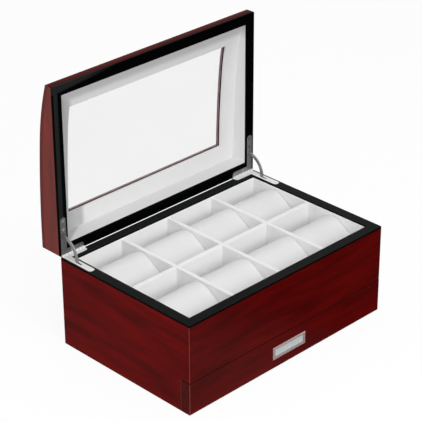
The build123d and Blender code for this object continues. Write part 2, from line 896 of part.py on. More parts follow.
for side, name in ((-1, "lid_hinge_leaf_left"), (1, "lid_hinge_leaf_right")):
    with BuildPart() as lid_leaf:
        leaf(lid_plane, side, leaf_thickness)
        cut_barrels()
        add_knuckles(lid_side, side, -lid_gap / 2, (0, leaf_thickness), 1)
        with BuildSketch(lid_plane):
            with Locations((side * leaf_x, middle(lid_slot_y))):
                Rectangle(stay_slot_width, span(lid_slot_y))
        extrude(amount=leaf_thickness, mode=Mode.SUBTRACT)
        for ear in (-1, 1):
            ear_x = mirrored((stay_slot_width / 2, stay_slot_width / 2 + ear_thickness), ear)
            with BuildSketch(lid_side.offset(side * leaf_x + ear_x[0])):
                with Locations((pivot_y, stay_pivot_depth / 2)):
                    Rectangle(2 * stay_eye_radius, stay_pivot_depth)
                with Locations((pivot_y, stay_pivot_depth)):
                    Circle(stay_eye_radius)
                    Circle(stay_rivet_radius + bore_clearance, mode=Mode.SUBTRACT)
            extrude(amount=ear_thickness)
        cut_countersinks(lid_plane, 1)
    save(lid_leaf, name)

with BuildPart() as hinge_pins:
    for side in (-1, 1):
        x = mirrored((leaf_end_x, leaf_outer_x), side)
        rod(Plane.YZ.offset(x[0]), [(hinge_y, hinge_z)], hinge_pin_radius, span(x))
save(hinge_pins, "hinge_pins")


def add_screws(plane, direction):
    """Countersunk cross-head screws of both hinges, from a rim's face along a direction of +1 or -1."""
    rod(plane, screw_places, screw_radius, direction * screw_length)
    with BuildSketch(plane) as outline:
        with Locations(*screw_places):
            Circle(screw_head_radius)
    extrude(outline.sketch, amount=direction * (screw_head_radius - screw_radius), taper=45)
    with BuildSketch(plane) as drive:
        with Locations(*screw_places):
            Rectangle(screw_drive_length, screw_drive_width)
            Rectangle(screw_drive_width, screw_drive_length)
    extrude(drive.sketch, amount=direction * screw_drive_depth, mode=Mode.SUBTRACT)


with BuildPart() as base_hinge_screws:
    add_screws(rim_plane, -1)
save(base_hinge_screws, "base_hinge_screws")

with BuildPart() as lid_hinge_screws:
    add_screws(lid_plane, 1)
save(lid_hinge_screws, "lid_hinge_screws")

# Stay arms and their rivets


def stay_point(point):
    """Place a (forward, up) point of the open stay in the side view of the box."""
    return (hinge_y - point[0], hinge_z + point[1])


arm_tail = (
    arm_centre[0] + stay_radius * cos(arm_start - arm_sweep),
    arm_centre[1] + stay_radius * sin(arm_start - arm_sweep),
)

for side, name in ((-1, "stay_arm_left"), (1, "stay_arm_right")):
    with BuildPart() as stay_arm:
        with BuildSketch(Plane.YZ.offset(side * leaf_x - stay_thickness / 2)):
            with BuildLine(mode=Mode.PRIVATE) as arm_line:
                CenterArc(
                    stay_point(arm_centre),
                    stay_radius,
                    180 - degrees(arm_start),
                    degrees(arm_sweep),
                )
            SlotArc(arm_line.edge(), height=stay_width)
            with Locations(stay_point(pivot_open)):
                Circle(stay_eye_radius)
                Circle(stay_rivet_radius + bore_clearance, mode=Mode.SUBTRACT)
        extrude(amount=stay_thickness)
        rod(
            Plane.YZ.offset(side * leaf_x - stop_pin_length / 2),
            [stay_point(arm_tail)],
            stop_pin_radius,
            stop_pin_length,
        )
    save(stay_arm, name)

with BuildPart() as stay_rivets:
    rivet_length = stay_slot_width + 2 * ear_thickness
    for side in (-1, 1):
        rod(
            Plane.YZ.offset(side * leaf_x - rivet_length / 2),
            [stay_point(pivot_open)],
            stay_rivet_radius,
            rivet_length,
        )
save(stay_rivets, "stay_rivets")
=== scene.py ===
"""Looks of the pen and watch box: lacquered veneer, black rims, suede, padded pillows and metal fittings."""
import math

import bmesh
import bpy
from mathutils import Matrix, Vector, noise
from mathutils.bvhtree import BVHTree


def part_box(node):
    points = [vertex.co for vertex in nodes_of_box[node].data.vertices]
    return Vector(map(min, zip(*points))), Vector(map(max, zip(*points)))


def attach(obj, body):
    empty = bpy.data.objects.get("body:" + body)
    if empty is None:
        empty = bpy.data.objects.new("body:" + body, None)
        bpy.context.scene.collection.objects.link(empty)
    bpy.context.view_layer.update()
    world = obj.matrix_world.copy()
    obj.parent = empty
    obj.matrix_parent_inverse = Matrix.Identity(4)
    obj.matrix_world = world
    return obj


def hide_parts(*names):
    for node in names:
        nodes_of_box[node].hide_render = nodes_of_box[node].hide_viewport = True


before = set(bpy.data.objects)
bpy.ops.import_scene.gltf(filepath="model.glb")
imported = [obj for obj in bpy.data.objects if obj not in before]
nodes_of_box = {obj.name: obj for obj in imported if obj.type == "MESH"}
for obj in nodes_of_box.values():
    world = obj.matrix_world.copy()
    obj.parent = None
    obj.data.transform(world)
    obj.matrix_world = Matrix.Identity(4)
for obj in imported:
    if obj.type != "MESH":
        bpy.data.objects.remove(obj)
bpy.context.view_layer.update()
scene = bpy.context.scene


# Where the CAD nodes lie at rest, in metres


def lowest(node, axis):
    """The lowest place of a CAD node along an axis of the box."""
    return getattr(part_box(node)[0], axis)


def highest(node, axis):
    """The highest place of a CAD node along an axis of the box."""
    return getattr(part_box(node)[1], axis)


def middle_of(node, axis):
    """The middle of a CAD node along an axis of the box."""
    return (lowest(node, axis) + highest(node, axis)) / 2


def half_of(node, axis):
    """Half the length of a CAD node along an axis of the box."""
    return (highest(node, axis) - lowest(node, axis)) / 2


# Arrises, margins and the widths of shadows in metres

ARRIS = 0.0006
DRAWER_ARRIS = 0.0007
LID_ARRIS = 0.00065
RIM_MARGIN = 0.0001
BAY_CORNER = 0.0024
INLAY_END_MARGIN = 0.0008
INLAY_LONG_MARGIN = 0.0009
BARREL_REACH = 0.00165
WALL_ARRIS = 0.0003
BOARD_MARGIN = 0.00035
BOARD_STEP = 0.0005
LIP_SHADOW_BEFORE = 0.00385
LIP_SHADOW_BEYOND = 0.00515
PANE_SEAT = 0.00555

# Places where the looks change, in metres

HALF_WIDTH = highest("base_rim", "x")
HALF_DEPTH = highest("base_rim", "y")
BASE_RIM_Z = highest("base_rim", "z") - RIM_MARGIN
BAY_EDGE_Y = highest("drawer_front", "y") + BAY_CORNER
BAY_TOP_Z = lowest("upper_front_panel", "z")
DRAWER_FOOT_Z = lowest("drawer_front", "z") + DRAWER_ARRIS
DRAWER_TOP_Z = highest("drawer_front", "z") - DRAWER_ARRIS
INLAY_Z = middle_of("pull_insert", "z")
INLAY_HALF_LENGTH = half_of("pull_insert", "x") - INLAY_END_MARGIN
INLAY_HALF_HEIGHT = half_of("pull_insert", "z") - INLAY_LONG_MARGIN
HINGE_Y = middle_of("hinge_pins", "y")
HINGE_Z = middle_of("hinge_pins", "z")
LID_FACE_Y = lowest("lid_rim", "y")
LID_WALL_X = highest("lid_board_left", "x") + WALL_ARRIS
LID_BOARD_Z = highest("lid_board_back", "z") + BOARD_MARGIN
LID_TOP_Z = highest("lid_rim", "z")
LID_END_Z = LID_TOP_Z - LID_ARRIS
LIP_Z = lowest("lid_front_cove", "z")
WINDOW_Z = middle_of("window_pane", "z")
WINDOW_HALF_HEIGHT = half_of("window_pane", "z") - PANE_SEAT
WINDOW_HALF_WIDTH = half_of("window_pane", "x") - PANE_SEAT

# Colours as linear red, green and blue

DARK_RED = (0.072, 0.0003, 0.0001)
LIGHT_RED = (0.142, 0.0012, 0.0002)
# Painted highlight on the rounded arrises of the carcass and the drawer
ARRIS_HIGHLIGHT_RED = (0.23, 0.06, 0.05)
# Painted highlight on each side panel's edge over the drawer's front
BAY_EDGE_HIGHLIGHT = (0.1, 0.022, 0.02)
# Painted shade on the drawer's top in the joint
JOINT_SHADE_RED = (0.02, 0.0004, 0.0003)
END_RED = (0.06, 0.0005, 0.0001)
# Painted sheen on the roof's ends
ROOF_END_SHEEN = (0.2, 0.05, 0.046)
# Painted reflection haze on the lid's sides
SIDE_REFLECTION_HAZE = (0.5, 0.46, 0.41)
WINDOW_EDGE = (0.34, 0.25, 0.26)
DEEP_BLACK = (0.0012, 0.0013, 0.0013)
# Grey painted sheen on the rims' black lacquer
SHEEN_GREY = (0.019, 0.021, 0.02)
LEAST_GLASS_TINT = (0.905, 0.906, 0.906)
MOST_GLASS_TINT = (0.895, 0.896, 0.896)
BARE_DARK = (0.2, 0.13, 0.07)
BARE_LIGHT = (0.42, 0.3, 0.18)
# Painted highlight on the lid's hinge barrels
BARREL_HIGHLIGHT_GREY = (0.8, 0.8, 0.8)
# Painted shade at the edge of the pull's inlay
INLAY_SHADOW_GREY = (0.28, 0.29, 0.29)

# Shares of a colour that stay or come in

# Share of the painted reflection haze on the lid's sides
REFLECTION_HAZE_SHARE = 0.145
WALL_SHADOW_LEVEL = 0.64
LIP_SHADOW_LEVEL = 0.78
DULL_METAL_LEVEL = 0.9


# Small helpers for node trees


def feed(tree, target, value):
    """Give an input its value, or link another node's output to it."""
    if hasattr(value, "is_output"):
        tree.links.new(value, target)
    else:
        target.default_value = value


def add(tree, kind, **values):
    """A node in a tree, with its settings and its inputs given by name."""
    node = tree.nodes.new(kind)
    for name, value in values.items():
        if name in node.inputs:
            feed(tree, node.inputs[name], value)
        else:
            setattr(node, name, value)
    return node


def maths(tree, operation, first, second=0.0):
    """The result of a maths node on two numbers or outputs."""
    node = add(tree, "ShaderNodeMath", operation=operation)
    feed(tree, node.inputs[0], first)
    feed(tree, node.inputs[1], second)
    return node.outputs[0]


def vector_maths(tree, operation, first, second):
    """The result of a vector maths node on two vectors or outputs."""
    node = add(tree, "ShaderNodeVectorMath", operation=operation)
    feed(tree, node.inputs[0], first)
    feed(tree, node.inputs[1], second)
    return node.outputs[0]


def remap(tree, value, low, high, to_low=0.0, to_high=1.0):
    """Stretch a value between two limits onto another pair, clamped."""
    node = add(tree, "ShaderNodeMapRange")
    limits = {"Value": value, "From Min": low, "From Max": high, "To Min": to_low, "To Max": to_high}
    for name, limit in limits.items():
        feed(tree, node.inputs[name], limit)
    return node.outputs["Result"]


def mottle(tree, vector, scale, detail, roughness=0.5):
    """A noise node, for mottled or streaked surfaces."""
    return add(tree, "ShaderNodeTexNoise", Vector=vector, Scale=scale, Detail=detail, Roughness=roughness)


def blend_colours(tree, factor, first, second):
    """The first colour passing into the second as the factor goes from 0 to 1."""
    node = add(tree, "ShaderNodeMix", data_type="RGBA")
    feed(tree, node.inputs[0], factor)
    for index, colour in ((6, first), (7, second)):
        feed(tree, node.inputs[index], (*colour, 1.0) if isinstance(colour, tuple) else colour)
    return node.outputs[2]


def dimmed(colour, factor):
    """A colour made darker or brighter, and never more than white."""
    return tuple(min(1.0, factor * part) for part in colour)


def apart(tree, value, middle=0.0):
    """How far a value is from a middle, to either side."""
    return maths(tree, "ABSOLUTE", maths(tree, "SUBTRACT", value, middle))


def within(tree, value, middle, reach):
    """A mask of the places less than a reach away from a middle."""
    return maths(tree, "LESS_THAN", apart(tree, value, middle), reach)


def both(tree, first, second):
    """A mask of the places that are in two masks."""
    return maths(tree, "MULTIPLY", first, second)


# Camera and studio


def place_camera():
    """The photograph's viewpoint: a long lens, level, looking down on the front left corner."""
    lens = bpy.data.cameras.new("photo_lens")
    lens.sensor_width = 36.0
    lens.lens = 146.74
    camera = bpy.data.objects.new("photo_camera", lens)
    scene.collection.objects.link(camera)
    right = Vector((0.710245, -0.703945, -0.003543))
    up = Vector((0.333589, 0.332134, 0.882273))
    back = Vector((-0.619895, -0.627812, 0.470725))
    stand = Matrix.Translation((-1.25005, -1.24501, 1.09926))
    camera.matrix_world = stand @ Matrix((right, up, back)).transposed().to_4x4()
    scene.camera = camera


ROOM_LIGHT = 0.42
LAMP_AIM = (0.0, 0.05, 0.12)
LAMPS = (
    # name, place, size, power
    ("key_softbox", (-1.27, -0.79, 0.1), 0.2, 4.2),
    ("front_softbox", (-0.62, -1.8, 1.2), 1.0, 18.5),
    ("overhead_softbox", (-0.2, -0.45, 1.6), 0.6, 5.0),
)


def light_studio():
    """A pale room, plain white where the camera, glass and metal see it, and three soft lamps."""
    world = bpy.data.worlds.new("pale_room")
    world.use_nodes = True
    scene.world = world
    tree = world.node_tree
    room = tree.nodes["Background"]
    room.inputs["Color"].default_value = (1.0, 1.0, 1.0, 1.0)
    path = tree.nodes.new("ShaderNodeLightPath")
    seen = maths(tree, "MAXIMUM", path.outputs["Is Camera Ray"], path.outputs["Is Transmission Ray"])
    seen_or_mirrored = maths(tree, "MAXIMUM", seen, path.outputs["Is Glossy Ray"])
    tree.links.new(remap(tree, seen_or_mirrored, 0.0, 1.0, ROOM_LIGHT, 1.0), room.inputs["Strength"])
    for name, place, size, power in LAMPS:
        lamp = bpy.data.lights.new(name, "AREA")
        lamp.shape = "SQUARE"
        lamp.size = size
        lamp.energy = power
        holder = bpy.data.objects.new(name, lamp)
        scene.collection.objects.link(holder)
        aim = Vector(LAMP_AIM) - Vector(place)
        turn = aim.to_track_quat("-Z", "Y").to_matrix().to_4x4()
        holder.matrix_world = Matrix.Translation(place) @ turn


FLOOR_SIZE = 12.0
FLOOR_GLOW = 0.92
FLOOR_BOUNCE = 0.17
MIRROR_SLANT = 0.3
NEAR_GLOW = 0.38
FAR_GLOW = 0.35


def lay_floor():
    """A plain white floor that keeps a faint shadow of the box, and is dim where its lacquer mirrors it."""
    bpy.ops.object.select_all(action="DESELECT")
    bpy.ops.mesh.primitive_plane_add(size=FLOOR_SIZE, location=(0.0, 0.0, 0.0))
    floor = bpy.context.object
    floor.name = "studio_floor"
    surface, tree, shader, place = new_finish(
        "white_floor",
        {
            "Base Color": (0.1, 0.1, 0.1, 1.0),
            "Roughness": 0.9,
            "Specular IOR Level": 0.0,
            "Emission Color": (1.0, 1.0, 1.0, 1.0),
        },
    )
    path = tree.nodes.new("ShaderNodeLightPath")
    seen = maths(tree, "MAXIMUM", path.outputs["Is Camera Ray"], path.outputs["Is Transmission Ray"])
    mirrored = maths(tree, "GREATER_THAN", path.outputs["Is Glossy Ray"], seen)
    axes = add(tree, "ShaderNodeSeparateXYZ", Vector=place)
    slant = maths(tree, "MULTIPLY", axes.outputs["Y"], MIRROR_SLANT)
    leftward = maths(tree, "SUBTRACT", slant, axes.outputs["X"])
    near = remap(tree, leftward, -0.14, 0.0, 0.0, NEAR_GLOW)
    far = remap(tree, leftward, 0.36, 0.44, 0.0, FAR_GLOW)
    seen_glow = maths(tree, "MULTIPLY", seen, FLOOR_GLOW)
    mirrored_glow = maths(tree, "MULTIPLY", maths(tree, "ADD", near, far), mirrored)
    bounce = maths(tree, "MULTIPLY", path.outputs["Is Diffuse Ray"], FLOOR_BOUNCE)
    glow = maths(tree, "ADD", maths(tree, "ADD", seen_glow, mirrored_glow), bounce)
    tree.links.new(glow, shader.inputs["Emission Strength"])
    floor.data.materials.append(surface)


# Node groups that several finishes share


def start_group(name, numbers, outputs):
    """A node group that reads a place and some numbers and puts out values; returned with its two ends."""
    group = bpy.data.node_groups.new(name, "ShaderNodeTree")
    group.interface.new_socket("Vector", in_out="INPUT", socket_type="NodeSocketVector")
    for label, number in numbers.items():
        socket = group.interface.new_socket(label, in_out="INPUT", socket_type="NodeSocketFloat")
        socket.default_value = number
    for label in outputs:
        group.interface.new_socket(label, in_out="OUTPUT", socket_type="NodeSocketFloat")
    return group, group.nodes.new("NodeGroupInput"), group.nodes.new("NodeGroupOutput")


def make_wood_grain():
    """Figure, streaks and pores of a quarter cut veneer whose grain runs along the X of its vector."""
    group, start, end = start_group("wood_grain", {"Seed": 0.0}, ("Figure", "Streak", "Pore"))
    seed = start.outputs["Seed"]
    shift = add(group, "ShaderNodeCombineXYZ", X=seed, Z=seed)
    placed = vector_maths(group, "ADD", start.outputs["Vector"], shift.outputs[0])
    sway = mottle(group, placed, 5.0, 1.0).outputs["Color"]
    sway = vector_maths(group, "SUBTRACT", sway, (0.5, 0.5, 0.5))
    sway = vector_maths(group, "MULTIPLY", sway, (0.0, 0.03, 0.03))
    bent = vector_maths(group, "ADD", placed, sway)
    for label, along, across, detail in (
        ("Figure", 5.0, 42.0, 2.0),
        ("Streak", 13.0, 120.0, 3.0),
        ("Pore", 60.0, 1500.0, 1.0),
    ):
        stretched = vector_maths(group, "MULTIPLY", bent, (along, across, across))
        group.links.new(mottle(group, stretched, 1.0, detail).outputs["Fac"], end.inputs[label])
    return group


def make_suede_nap():
    """Mottled tone and fine height of brushed suede."""
    group, start, end = start_group("suede_nap", {}, ("Tone", "Height"))
    cloud = mottle(group, start.outputs["Vector"], 38.0, 3.0, 0.6).outputs["Fac"]
    fibre = mottle(group, start.outputs["Vector"], 1900.0, 2.0, 0.7).outputs["Fac"]
    cloud_part = maths(group, "MULTIPLY", cloud, 0.6)
    fibre_part = maths(group, "MULTIPLY", fibre, 0.4)
    group.links.new(maths(group, "ADD", cloud_part, fibre_part), end.inputs["Tone"])
    group.links.new(fibre, end.inputs["Height"])
    return group


def make_fine_scratches():
    """Roughness of metal or lacquer that has been wiped: fine scratches and soft smears."""
    group, start, end = start_group("fine_scratches", {"Low": 0.2, "High": 0.35}, ("Roughness", "Height"))
    drawn = vector_maths(group, "MULTIPLY", start.outputs["Vector"], (60.0, 2400.0, 2400.0))
    scratch = mottle(group, drawn, 1.0, 3.0).outputs["Fac"]
    smear = mottle(group, start.outputs["Vector"], 30.0, 2.0).outputs["Fac"]
    scratch_part = maths(group, "MULTIPLY", scratch, 0.5)
    smear_part = maths(group, "MULTIPLY", smear, 0.5)
    level = maths(group, "ADD", scratch_part, smear_part)
    spread = remap(group, level, 0.3, 0.7, start.outputs["Low"], start.outputs["High"])
    group.links.new(spread, end.inputs["Roughness"])
    group.links.new(scratch, end.inputs["Height"])
    return group


wood_grain = make_wood_grain()
suede_nap = make_suede_nap()
fine_scratches = make_fine_scratches()


# What every finish is started and completed with


def new_finish(name, constants):
    """A new material with its tree, its shader with the constant values set, and the piece's coordinates."""
    finish = bpy.data.materials.new(name)
    finish.use_nodes = True
    tree = finish.node_tree
    shader = tree.nodes["Principled BSDF"]
    for label, value in constants.items():
        shader.inputs[label].default_value = value
    place = tree.nodes.new("ShaderNodeTexCoord").outputs["Object"]
    return finish, tree, shader, place


def use_group(tree, group, **values):
    """A shared node group placed in a material, with its inputs given by name."""
    return add(tree, "ShaderNodeGroup", node_tree=group, **values)


def wipe(tree, shader, place, smoothest, roughest):
    """Give the shader the roughness of a wiped surface; returns the height of the scratches."""
    wiped = use_group(tree, fine_scratches, Vector=place, Low=smoothest, High=roughest)
    tree.links.new(wiped.outputs["Roughness"], shader.inputs["Roughness"])
    return wiped.outputs["Height"]


def bump(tree, shader, height, distance, strength):
    """Feed a height to the shader's normal."""
    node = add(tree, "ShaderNodeBump", Height=height, Distance=distance, Strength=strength)
    tree.links.new(node.outputs["Normal"], shader.inputs["Normal"])


# Red veneer


GRAIN_TURNS = {
    "x": (0.0, 0.0, 0.0),
    "y": (0.0, 0.0, math.radians(-90)),
    "z": (0.0, math.radians(90), 0.0),
}


def veneer_colour(tree, place, grain, seed, dark, light):
    """Base colour and pore mask of a veneer, its grain along one axis of the box."""
    turned = add(tree, "ShaderNodeMapping", Vector=place, Rotation=GRAIN_TURNS[grain])
    wood = use_group(tree, wood_grain, Vector=turned.outputs[0], Seed=seed)
    figure = maths(tree, "MULTIPLY", wood.outputs["Figure"], 0.45)
    streak = maths(tree, "MULTIPLY", wood.outputs["Streak"], 0.55)
    tone = remap(tree, maths(tree, "ADD", figure, streak), 0.36, 0.64)
    pore = remap(tree, wood.outputs["Pore"], 0.6, 0.74)
    body = blend_colours(tree, tone, dark, light)
    return blend_colours(tree, maths(tree, "MULTIPLY", pore, 0.4), body, dark), pore


def side_faces(tree, axes):
    """The faces at the left and right ends of the box, with the arrises beside them."""
    return maths(tree, "GREATER_THAN", apart(tree, axes.outputs["X"]), HALF_WIDTH - ARRIS)


def long_faces(tree, axes):
    """The faces at the front and back of the box, with the arrises beside them."""
    return maths(tree, "GREATER_THAN", apart(tree, axes.outputs["Y"]), HALF_DEPTH - ARRIS)


def paint_carcass_highlights(tree, axes, colour):
    """Painted highlights on the upright corners, and on the edge of each side panel over the drawer's front.
    """
    sides = side_faces(tree, axes)
    corners = both(tree, sides, long_faces(tree, axes))
    colour = blend_colours(tree, corners, colour, ARRIS_HIGHLIGHT_RED)
    ahead = maths(tree, "LESS_THAN", axes.outputs["Y"], BAY_EDGE_Y)
    low = maths(tree, "LESS_THAN", axes.outputs["Z"], BAY_TOP_Z)
    bay_edge = both(tree, both(tree, ahead, low), sides)
    return blend_colours(tree, bay_edge, colour, BAY_EDGE_HIGHLIGHT)


def paint_drawer_highlights_and_shade(tree, axes, colour):
    """Painted highlights on the ends and foot of the drawer's front, and painted shade on its top in the
    joint.
    """
    foot = maths(tree, "LESS_THAN", axes.outputs["Z"], DRAWER_FOOT_Z)
    outline = maths(tree, "MAXIMUM", foot, side_faces(tree, axes))
    highlit_arrises = both(tree, outline, long_faces(tree, axes))
    colour = blend_colours(tree, highlit_arrises, colour, ARRIS_HIGHLIGHT_RED)
    top = maths(tree, "GREATER_THAN", axes.outputs["Z"], DRAWER_TOP_Z)
    return blend_colours(tree, top, colour, JOINT_SHADE_RED)


def paint_lid_side_reflection(tree, axes, colour):
    """A thin painted reflection haze on the lid's sides, which their front ends don't have."""
    colour = blend_colours(tree, REFLECTION_HAZE_SHARE, colour, SIDE_REFLECTION_HAZE)
    ends = maths(tree, "GREATER_THAN", axes.outputs["Z"], LID_END_Z)
    return blend_colours(tree, ends, colour, END_RED)


def paint_roof_sheen_and_window_cut(tree, axes, colour):
    """Painted sheen on the roof's ends, and the pale cut round its window."""
    colour = blend_colours(tree, side_faces(tree, axes), colour, ROOF_END_SHEEN)
    high = within(tree, axes.outputs["Z"], WINDOW_Z, WINDOW_HALF_HEIGHT)
    wide = within(tree, axes.outputs["X"], 0.0, WINDOW_HALF_WIDTH)
    return blend_colours(tree, both(tree, high, wide), colour, WINDOW_EDGE)


def make_veneer(name, grain, seed, painted_light_level, gloss, painted_light_and_tone=None):
    """Red veneer under clear lacquer, with its pores, its brightness per piece set as painted light and
    shade, and the painted light and edge tone of the piece it covers.
    """
    finish, tree, shader, place = new_finish(name, {"Specular IOR Level": gloss})
    dark = dimmed(DARK_RED, painted_light_level)
    light = dimmed(LIGHT_RED, painted_light_level)
    colour, pore = veneer_colour(tree, place, grain, seed, dark, light)
    if painted_light_and_tone:
        colour = painted_light_and_tone(tree, add(tree, "ShaderNodeSeparateXYZ", Vector=place), colour)
    tree.links.new(colour, shader.inputs["Base Color"])
    wipe(tree, shader, place, smoothest=0.2, roughest=0.34)
    bump(tree, shader, maths(tree, "SUBTRACT", 1.0, pore), distance=0.00003, strength=0.25)
    return finish


# Black lacquer of the rims


def top_face(tree, axes):
    """The base rim's top face, down to its outer arris, for painted sheen, with painted light making it
    greyer towards the lid.
    """
    lit = remap(tree, axes.outputs["Y"], 0.02, 0.1, 0.66, 1.0)
    return both(tree, lit, maths(tree, "GREATER_THAN", axes.outputs["Z"], BASE_RIM_Z))


def upper_left_corner(tree, axes):
    """Painted sheen on the lid rim's outer edge: down its left side, and tapering away to the right along
    its top.
    """
    rightward = maths(tree, "ADD", axes.outputs["X"], HALF_WIDTH)
    downward = maths(tree, "SUBTRACT", LID_TOP_Z, axes.outputs["Z"])
    inward = remap(tree, rightward, 0.001, 0.0025)
    beside = both(tree, inward, remap(tree, rightward, 0.0065, 0.0085, 1.0, 0.0))
    reach = remap(tree, rightward, 0.0, 0.1, 0.009, 0.0)
    above = remap(tree, maths(tree, "SUBTRACT", downward, reach), -0.001, 0.002, 1.0, 0.0)
    faded = remap(tree, rightward, 0.05, 0.1, 1.0, 0.0)
    return maths(tree, "MAXIMUM", beside, both(tree, above, faded))


def make_black_lacquer(name, sheen_places):
    """Black gloss lacquer with wiped smears, and grey painted sheen at some places."""
    finish, tree, shader, place = new_finish(name, {"Specular IOR Level": 0.01})
    scratches = wipe(tree, shader, place, smoothest=0.12, roughest=0.24)
    sheen_by_scratches = remap(tree, scratches, 0.3, 0.7, 0.8, 1.0)
    axes = add(tree, "ShaderNodeSeparateXYZ", Vector=place)
    grey = both(tree, sheen_by_scratches, sheen_places(tree, axes))
    tree.links.new(blend_colours(tree, grey, DEEP_BLACK, SHEEN_GREY), shader.inputs["Base Color"])
    return finish


# Suede


def left_wall_shadow(tree, axes):
    """Where the open lid's left wall keeps the light off the lining beside it."""
    depth = maths(tree, "SUBTRACT", axes.outputs["Y"], LID_FACE_Y)
    slope = remap(tree, axes.outputs["Z"], LID_BOARD_Z, LID_BOARD_Z + BOARD_STEP, 1.5, 1.86)
    rightward = maths(tree, "SUBTRACT", axes.outputs["X"], LID_WALL_X)
    beyond = maths(tree, "SUBTRACT", rightward, maths(tree, "MULTIPLY", depth, slope))
    return remap(tree, beyond, -0.003, 0.003, 1.0, 0.0)


def shade_lid_corners(tree, place, colour, shade):
    """The lining's darker places in the open lid: beside its left wall, and under its front lip."""
    axes = add(tree, "ShaderNodeSeparateXYZ", Vector=place)
    beside_wall = left_wall_shadow(tree, axes)
    colour = blend_colours(tree, beside_wall, colour, dimmed(shade, WALL_SHADOW_LEVEL))
    full_lip = LIP_Z + LIP_SHADOW_BEYOND
    under_lip = remap(tree, axes.outputs["Z"], LIP_Z - LIP_SHADOW_BEFORE, full_lip)
    return blend_colours(tree, under_lip, colour, dimmed(shade, LIP_SHADOW_LEVEL))


def make_suede(name, level, in_lid=False):
    """Pale brushed suede of one level of grey."""
    finish, tree, shader, place = new_finish(
        name,
        {"Roughness": 0.95, "Specular IOR Level": 0.1, "Sheen Weight": 0.15, "Sheen Roughness": 0.5},
    )
    shade = (level, level, level)
    nap = use_group(tree, suede_nap, Vector=place)
    colour = blend_colours(tree, nap.outputs["Tone"], dimmed(shade, 0.97), dimmed(shade, 1.03))
    if in_lid:
        colour = shade_lid_corners(tree, place, colour, shade)
    tree.links.new(colour, shader.inputs["Base Color"])
    bump(tree, shader, nap.outputs["Height"], distance=0.00008, strength=0.4)
    return finish


# Metal, glass, bare wood, felt and rubber


def hinge_barrel(tree, axes):
    """The round barrel of the lid's hinges, which gets a painted highlight."""
    level = within(tree, axes.outputs["Y"], HINGE_Y, BARREL_REACH)
    return both(tree, level, within(tree, axes.outputs["Z"], HINGE_Z, BARREL_REACH))


def inlay_edge(tree, axes):
    """The margin of the pull's inlay next to its frame, which gets painted shade."""
    long_way = within(tree, axes.outputs["X"], 0.0, INLAY_HALF_LENGTH)
    short_way = within(tree, axes.outputs["Z"], INLAY_Z, INLAY_HALF_HEIGHT)
    return maths(tree, "SUBTRACT", 1.0, both(tree, long_way, short_way))


def make_metal(name, shade, metallic, smoothest, roughest, painted_light_places=None, second=None):
    """Plated or lacquered steel with fine wiping scratches, and a second colour at some places: a painted
    highlight on the hinge barrels, painted shade at the edge of the pull's inlay.
    """
    finish, tree, shader, place = new_finish(name, {"Metallic": metallic})
    scratches = wipe(tree, shader, place, smoothest, roughest)
    colour = blend_colours(tree, scratches, dimmed(shade, DULL_METAL_LEVEL), shade)
    if second:
        axes = add(tree, "ShaderNodeSeparateXYZ", Vector=place)
        colour = blend_colours(tree, painted_light_places(tree, axes), colour, second)
    tree.links.new(colour, shader.inputs["Base Color"])
    bump(tree, shader, scratches, distance=0.00001, strength=0.15)
    return finish


def make_glass():
    """Clear window glass with a slight grey cast, which mirrors next to nothing."""
    finish, tree, shader, place = new_finish(
        "window_glass",
        {"Transmission Weight": 1.0, "Specular IOR Level": 0.02, "Roughness": 0.0, "IOR": 1.08},
    )
    clear = remap(tree, mottle(tree, place, 14.0, 2.0).outputs["Fac"], 0.35, 0.65)
    tint = blend_colours(tree, clear, MOST_GLASS_TINT, LEAST_GLASS_TINT)
    tree.links.new(tint, shader.inputs["Base Color"])
    return finish


def make_bare_wood(name, grain):
    """Bare light wood of the drawer box and the hidden boards."""
    finish, tree, shader, place = new_finish(name, {"Specular IOR Level": 0.3})
    colour, pore = veneer_colour(tree, place, grain, 8.0, BARE_DARK, BARE_LIGHT)
    tree.links.new(colour, shader.inputs["Base Color"])
    tree.links.new(remap(tree, pore, 0.0, 1.0, 0.5, 0.65), shader.inputs["Roughness"])
    bump(tree, shader, pore, distance=0.00005, strength=0.4)
    return finish


def make_soft_dark(name, shade, scale, roughness):
    """Black felt or rubber."""
    finish, tree, shader, place = new_finish(name, {"Roughness": roughness})
    grit = mottle(tree, place, scale, 3.0).outputs["Fac"]
    tree.links.new(blend_colours(tree, grit, shade, dimmed(shade, 1.6)), shader.inputs["Base Color"])
    bump(tree, shader, grit, distance=0.0001, strength=0.5)
    return finish


def dress(finish, *names):
    """Give CAD nodes a finish."""
    for name in names:
        piece = nodes_of_box[name]
        if not piece.material_slots:
            piece.data.materials.append(finish)
        for slot in piece.material_slots:
            slot.material = finish


# Padded pillows

VOXEL = 0.0034
SLACK = 0.985
CLOTH_STEPS = 20
MOST_PUSH = 0.0012
MOST_FILLING = 0.006
END_ROUNDING = 0.005
END_TIGHTNESS = 2.2
PIPING_INSET = 0.0011
PIPING_RADIUS = 0.0008
SIDE_GAP = 0.0001
LUMP_SIZE = 0.0005
LUMPS_PER_METRE = 30.0
TOP_SLACK = 0.0004
SEED_STEP = 1.7


